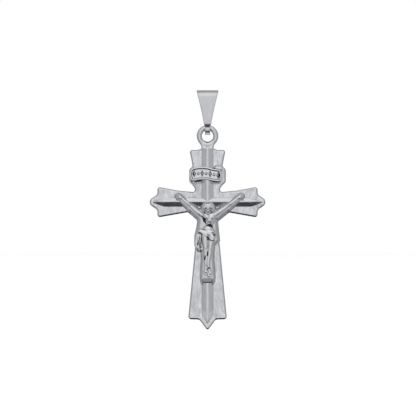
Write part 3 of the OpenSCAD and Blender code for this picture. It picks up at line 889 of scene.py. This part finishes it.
def build_bars():
    # The bars run this far past their CAD ends, under the neck and into the points
    overrun = 0.25
    top, foot = upright_high[2] + overrun, upright_low[2]
    half, wall, ridge = upright_high[0], 0.14, FRONT - upright_low[1]
    stations = []
    for z in np.linspace(top, foot, 150):
        rise = ease((top - z) / 0.7) * min((z - foot) / 3.6 + 0.08, 1)
        width = half * (0.84 + 0.16 * ease((top - z) / 1.6))
        width *= math.sqrt(ease((z - foot) / 2.2)) * 0.96 + 0.04
        stations.append((z, width, wall * rise + 0.01, 0.02 + ridge * rise))
    ridge_bar("upright_ridge", "upright_bar", "cross", stations)
    for node, side in (("left_arm_bar", -1), ("right_arm_bar", 1)):
        low, high = mm_box(node)
        reach = max(abs(low[0]), abs(high[0])) + overrun
        half = (high[2] - low[2]) / 2
        stations = []
        for d in np.linspace(0, reach, 110):
            share = min((reach - d) / 2.4, 1) ** 0.8
            rise = 0.1 + 0.9 * share
            height = 0.02 + (ridge - 0.03) * rise
            stations.append((side * d, half * (0.04 + 0.96 * share), wall * rise, height))
        ridge_bar(node.replace("bar", "ridge"), node, "cross", stations, 0.2)


# ---- Bail and ring ----

def swept_strip(path, widths, thickness, corner):
    """A strip with rounded edges along a path of (y, z) centre points, of the given widths."""
    path = np.array(path)
    tangent = np.gradient(path, axis=0)
    tangent /= np.linalg.norm(tangent, axis=1)[:, None]
    across = np.stack([-tangent[:, 1], tangent[:, 0]], 1)
    points = []
    for (y, z), n, w in zip(path, across, widths):
        section = []
        for sx, sn, start in ((1, 1, 0), (-1, 1, 90), (-1, -1, 180), (1, -1, 270)):
            for i in range(5):
                a = math.radians(start + 90 * i / 4)
                section.append((sx * (w / 2 - corner) + corner * math.cos(a),
                                sn * (thickness / 2 - corner) + corner * math.sin(a)))
        points += [(x, y + n[0] * h, z + n[1] * h) for x, h in section]
    return points, tube_faces(len(path), len(section))


def arc(cy, cz, r, start, end, steps):
    angles = np.radians(np.linspace(start, end, steps))
    return [(cy + r * math.cos(a), cz + r * math.sin(a)) for a in angles]


def build_bail():
    thickness, edge_r = 0.32, 0.155
    crimp_y = -1.17
    seat = bail_high[2] - thickness / 2
    wire_z = RING_Z + RING_R
    eye = WIRE_R + 0.13 + thickness / 2
    top_z, crimp_z, low_z = bail_high[2], wire_z + 0.76, wire_z + 0.16
    # From the tail behind the ring, up the back, over the top, down the front and round the wire
    back_lean = math.degrees(math.asin((seat - eye) / -wire_z))
    front_lean = math.degrees(math.asin((seat + crimp_y) / -crimp_z))
    path = [(eye, bail_low[2]), (eye, wire_z - 0.6), (eye, wire_z - 0.1)]
    path += arc(0, 0, seat, -back_lean, 180 + front_lean, 40)
    path += [(crimp_y, crimp_z + 0.1), (crimp_y + 0.04, crimp_z - 0.06), (-0.88, low_z - 0.06)]
    path += [(-0.86, low_z - 0.2), (-0.84, wire_z - 0.45)]
    path += arc(-0.52, wire_z - 0.55, 0.32, 180, 262, 8)
    path += [(0.1, wire_z - 0.89), (0.5, wire_z - 0.86)]
    # Even steps along the path keep the width's change smooth
    path = np.array(path)
    length = np.concatenate([[0], np.cumsum(np.linalg.norm(np.diff(path, axis=0), axis=1))])
    even = np.linspace(0, length[-1], 260)
    path = np.stack([np.interp(even, length, path[:, 0]), np.interp(even, length, path[:, 1])], 1)
    for _ in range(4):
        path[1:-1] = (path[:-2] + 2 * path[1:-1] + path[2:]) / 4
    top_w, low_w, tongue_w = bail_high[0] - bail_low[0], 1.5, 1.1
    widths = []
    for z in path[:, 1]:
        t = (top_z - z) / (top_z - crimp_z)
        taper = top_w + (low_w - top_w) * t - 0.16 * math.sin(math.pi * min(max(t, 0), 1))
        narrow = min(max((crimp_z - z) / (crimp_z - low_z), 0), 1)
        widths.append(max(taper, low_w) * (1 - narrow) + tongue_w * narrow)
    points, faces = swept_strip(path, widths, thickness, edge_r)
    return finish_piece("folded_bail", mesh_from("folded_bail", points, faces),
                        "bail", SATIN, ["bail"])


def build_ring():
    turns, sides = 160, 40
    points, faces = [], []
    for i in range(turns):
        a = 2 * math.pi * i / turns
        for j in range(sides):
            b = 2 * math.pi * j / sides
            r = RING_R + WIRE_R * math.cos(b)
            points.append((r * math.sin(a), WIRE_R * math.sin(b), RING_Z + r * math.cos(a)))
            k, m = (i + 1) % turns, (j + 1) % sides
            faces.append((i * sides + j, k * sides + j, k * sides + m, i * sides + m))
    return finish_piece("wire_ring", mesh_from("wire_ring", points, faces),
                        "ring", WIRE, ["hanging_ring"])


# ---- Cross ----

def neck_field(p):
    """The neck between the plate and the ring, flowing round the lower part of the wire."""
    x, y, z = p.T
    fall = np.clip((RING_Z - 2.13 - z) / 0.8, 0, 1)
    block = smax(np.abs(x) - NECK_HALF_WIDTH - 0.3 * fall ** 3, np.abs(y) - WIRE_R - NECK_PROUD, 0.25)
    block = smax(block, z - (RING_Z - 1.75), 0.3)
    block = np.maximum(block, NECK_FOOT_Z - z)
    # The skin over the wire thins out and sinks into it further up
    thin = 0.01 - 0.03 * np.clip((z - RING_Z + 1.45) / 0.5, 0, 1)
    flat = np.hypot(x, z - RING_Z) - RING_R
    hugging = np.maximum(np.hypot(flat, y) - WIRE_R - thin, z - (RING_Z - 0.9))
    return smin(block, hugging, 0.45)


def build_cross():
    rounded_plate("cross_plate", "brushed_plate", "cross", BRUSHED,
                  PLATE_EDGE_R, PLATE_TOP_Z)
    low, high = (-2.6, -0.75, RING_Z - 3.4), (2.6, 0.75, RING_Z - 0.8)
    mesh, _ = field_mesh("ring_neck", neck_field, low, high, 0.04)
    finish_piece("ring_neck", mesh, "cross", WIRE)


def sculpted(name, field, low, high, voxel, material, node=None, around=None, reach=0.5,
             strength=1.6, cuts=None):
    mesh, points = field_mesh(name, field, low, high, voxel)
    paint_hollow_shade(mesh, points, around or field, reach, strength, cuts)
    return finish_piece(name, mesh, "cross", material, [node] if node else [])


def on_bed(field):
    """A field that ends a little below the bed's face."""
    return lambda p: np.maximum(field(p), p[:, 1] - BED - 0.12)


def build_relief():
    below, above, back = ARM_Z - 16.2, ARM_Z + 2.6, BED + 0.2
    def scene_around(p):
        return np.minimum(figure(p), bed(p))

    # Each piece is darkened in its hollows and deep cuts as painted shade, by how shut in it is among the
    # shapes around it
    sculpted("corpus_body", on_bed(skin), (-7.6, BED - 1.8, below), (8.5, back, above), 0.05,
             RELIEF, "corpus", scene_around, cuts=skin_cuts)
    sculpted("loincloth", on_bed(cloth), (-3.0, BED - 1.6, ARM_Z - 10.8), (2.3, back, ARM_Z - 5.0), 0.04,
             RELIEF, None, scene_around, cuts=cloth_cuts)
    sculpted("corpus_head", on_bed(head), (-1.3, BED - 1.9, ARM_Z - 3.6), (1.5, back, ARM_Z + 0.2), 0.03,
             RELIEF, None, scene_around, reach=0.3)
    sculpted("relief_bed", bed, (-7.6, BED - 0.1, ARM_Z - 18.0), (8.6, FRONT + 0.4, above), 0.08,
             FLANK, "corpus_bed", scene_around, strength=0.96, cuts=side_cut)
    sculpted("foot_ledge", ledge, (-1.8, BED - 1.0, foot_low[2] - 0.3), (1.8, BED + 0.3, foot_high[2] + 0.3),
             0.05, FLANK, "foot_rest", scene_around, strength=0.96)
    sculpted("curled_scroll", scroll, (-4.2, FRONT - 1.3, SCROLL_Z - 2.5), (3.7, FRONT + 0.2, SCROLL_Z + 2.8),
             0.035, RELIEF, "titulus_scroll", reach=0.6, strength=2.6, cuts=scroll_gaps)


build_bail()
build_ring()
build_cross()
build_bars()
build_relief()


# ---- Studio ----

def fill_ramp(color_ramp, stops):
    while len(color_ramp.elements) < len(stops):
        color_ramp.elements.new(0.5)
    for element, (place, value) in zip(color_ramp.elements, stops):
        element.position = place
        element.color = (value, value, value, 1)


def build_studio():
    middle = Vector(((cad_bounds[0][0] + cad_bounds[1][0]) / 2, 0,
                     (cad_bounds[0][2] + cad_bounds[1][2]) / 2))
    # The camera's frame is this wide and tall round the pendant, as in the picture
    view_size, distance = 0.08736, 0.6
    camera_data = bpy.data.cameras.new("camera")
    camera = bpy.data.objects.new("camera", camera_data)
    bpy.context.scene.collection.objects.link(camera)
    camera.location = (0.0001, -distance, middle.z + 0.00038)
    camera.rotation_euler = (math.radians(90), 0, 0)
    camera_data.sensor_width = 36
    camera_data.lens = 36 * distance / view_size
    camera_data.clip_start = 0.01
    bpy.context.scene.camera = camera

    # Pale floor
    floor_mesh = bpy.data.meshes.new("floor")
    disc = bmesh.new()
    bmesh.ops.create_circle(disc, cap_ends=True, segments=96, radius=3.0)
    disc.to_mesh(floor_mesh)
    disc.free()
    floor = bpy.data.objects.new("floor", floor_mesh)
    floor.location = (0, 0, cad_bounds[0][2] - 0.03)
    floor.visible_glossy = False
    bpy.context.scene.collection.objects.link(floor)
    pale, tree, shader = new_material("pale_floor")
    shader.inputs["Base Color"].default_value = (0.92, 0.92, 0.92, 1)
    shader.inputs["Roughness"].default_value = 0.9
    shader.inputs["Emission Color"].default_value = (1, 1, 1, 1)
    shader.inputs["Emission Strength"].default_value = 0.5
    floor_mesh.materials.append(pale)

    world = bpy.data.worlds.new("white_room")
    world.use_nodes = True
    world.node_tree.nodes["Background"].inputs["Color"].default_value = (1, 1, 1, 1)
    world.node_tree.nodes["Background"].inputs["Strength"].default_value = 1.0
    bpy.context.scene.world = world

    # A round tent that only reflections and soft light see: its brightness follows the direction
    tent_mesh = bpy.data.meshes.new("light_tent")
    sphere = bmesh.new()
    bmesh.ops.create_uvsphere(sphere, u_segments=96, v_segments=48, radius=4.0)
    sphere.to_mesh(tent_mesh)
    sphere.free()
    tent = bpy.data.objects.new("light_tent", tent_mesh)
    tent.location = middle
    tent.visible_camera = False
    tent.visible_shadow = False
    bpy.context.scene.collection.objects.link(tent)
    tent_cloth = bpy.data.materials.new("tent_cloth")
    tent_cloth.use_nodes = True
    tree = tent_cloth.node_tree
    tree.nodes.clear()
    place = add(tree, "ShaderNodeTexCoord")
    unit = add(tree, "ShaderNodeVectorMath", operation="NORMALIZE")
    split = add(tree, "ShaderNodeSeparateXYZ")
    sideways = add(tree, "ShaderNodeMath", operation="ABSOLUTE")
    tree.links.new(place.outputs["Object"], unit.inputs[0])
    tree.links.new(unit.outputs["Vector"], split.inputs[0])
    tree.links.new(split.outputs["X"], sideways.inputs[0])
    depth, height = split.outputs["Y"], split.outputs["Z"]
    across = sideways.outputs["Value"]
    # Brightest in front, duller to the sides and behind
    around = add(tree, "ShaderNodeValToRGB")
    fill_ramp(around.color_ramp, [(0.0, 0.98), (0.05, 0.9), (0.11, 0.64), (0.3, 0.56),
                                  (0.5, 0.54), (0.7, 0.48), (1.0, 0.46)])
    tree.links.new(ramp(tree, depth, -1, 1, 0, 1), around.inputs["Fac"])
    # A bright top light in front, and a dark gap below
    top = times(tree, smooth(tree, height, 0.3, 0.8), smooth(tree, depth, 0.1, -0.5))
    gap = times(tree, smooth(tree, height, -0.36, -0.56), smooth(tree, across, 0.6, 0.35))
    low = smooth(tree, height, -0.2, -0.8)
    both = around.outputs["Color"]
    for part, gain in ((top, 1.0), (gap, -0.86), (low, -0.12)):
        both = times(tree, both, ramp(tree, part, 0, 1, 1, 1 + gain))
    glow = add(tree, "ShaderNodeEmission")
    tree.links.new(both, glow.inputs["Strength"])
    out = add(tree, "ShaderNodeOutputMaterial")
    tree.links.new(glow.outputs["Emission"], out.inputs["Surface"])
    tent_mesh.materials.append(tent_cloth)
    bpy.context.scene.view_settings.view_transform = "Standard"


build_studio()
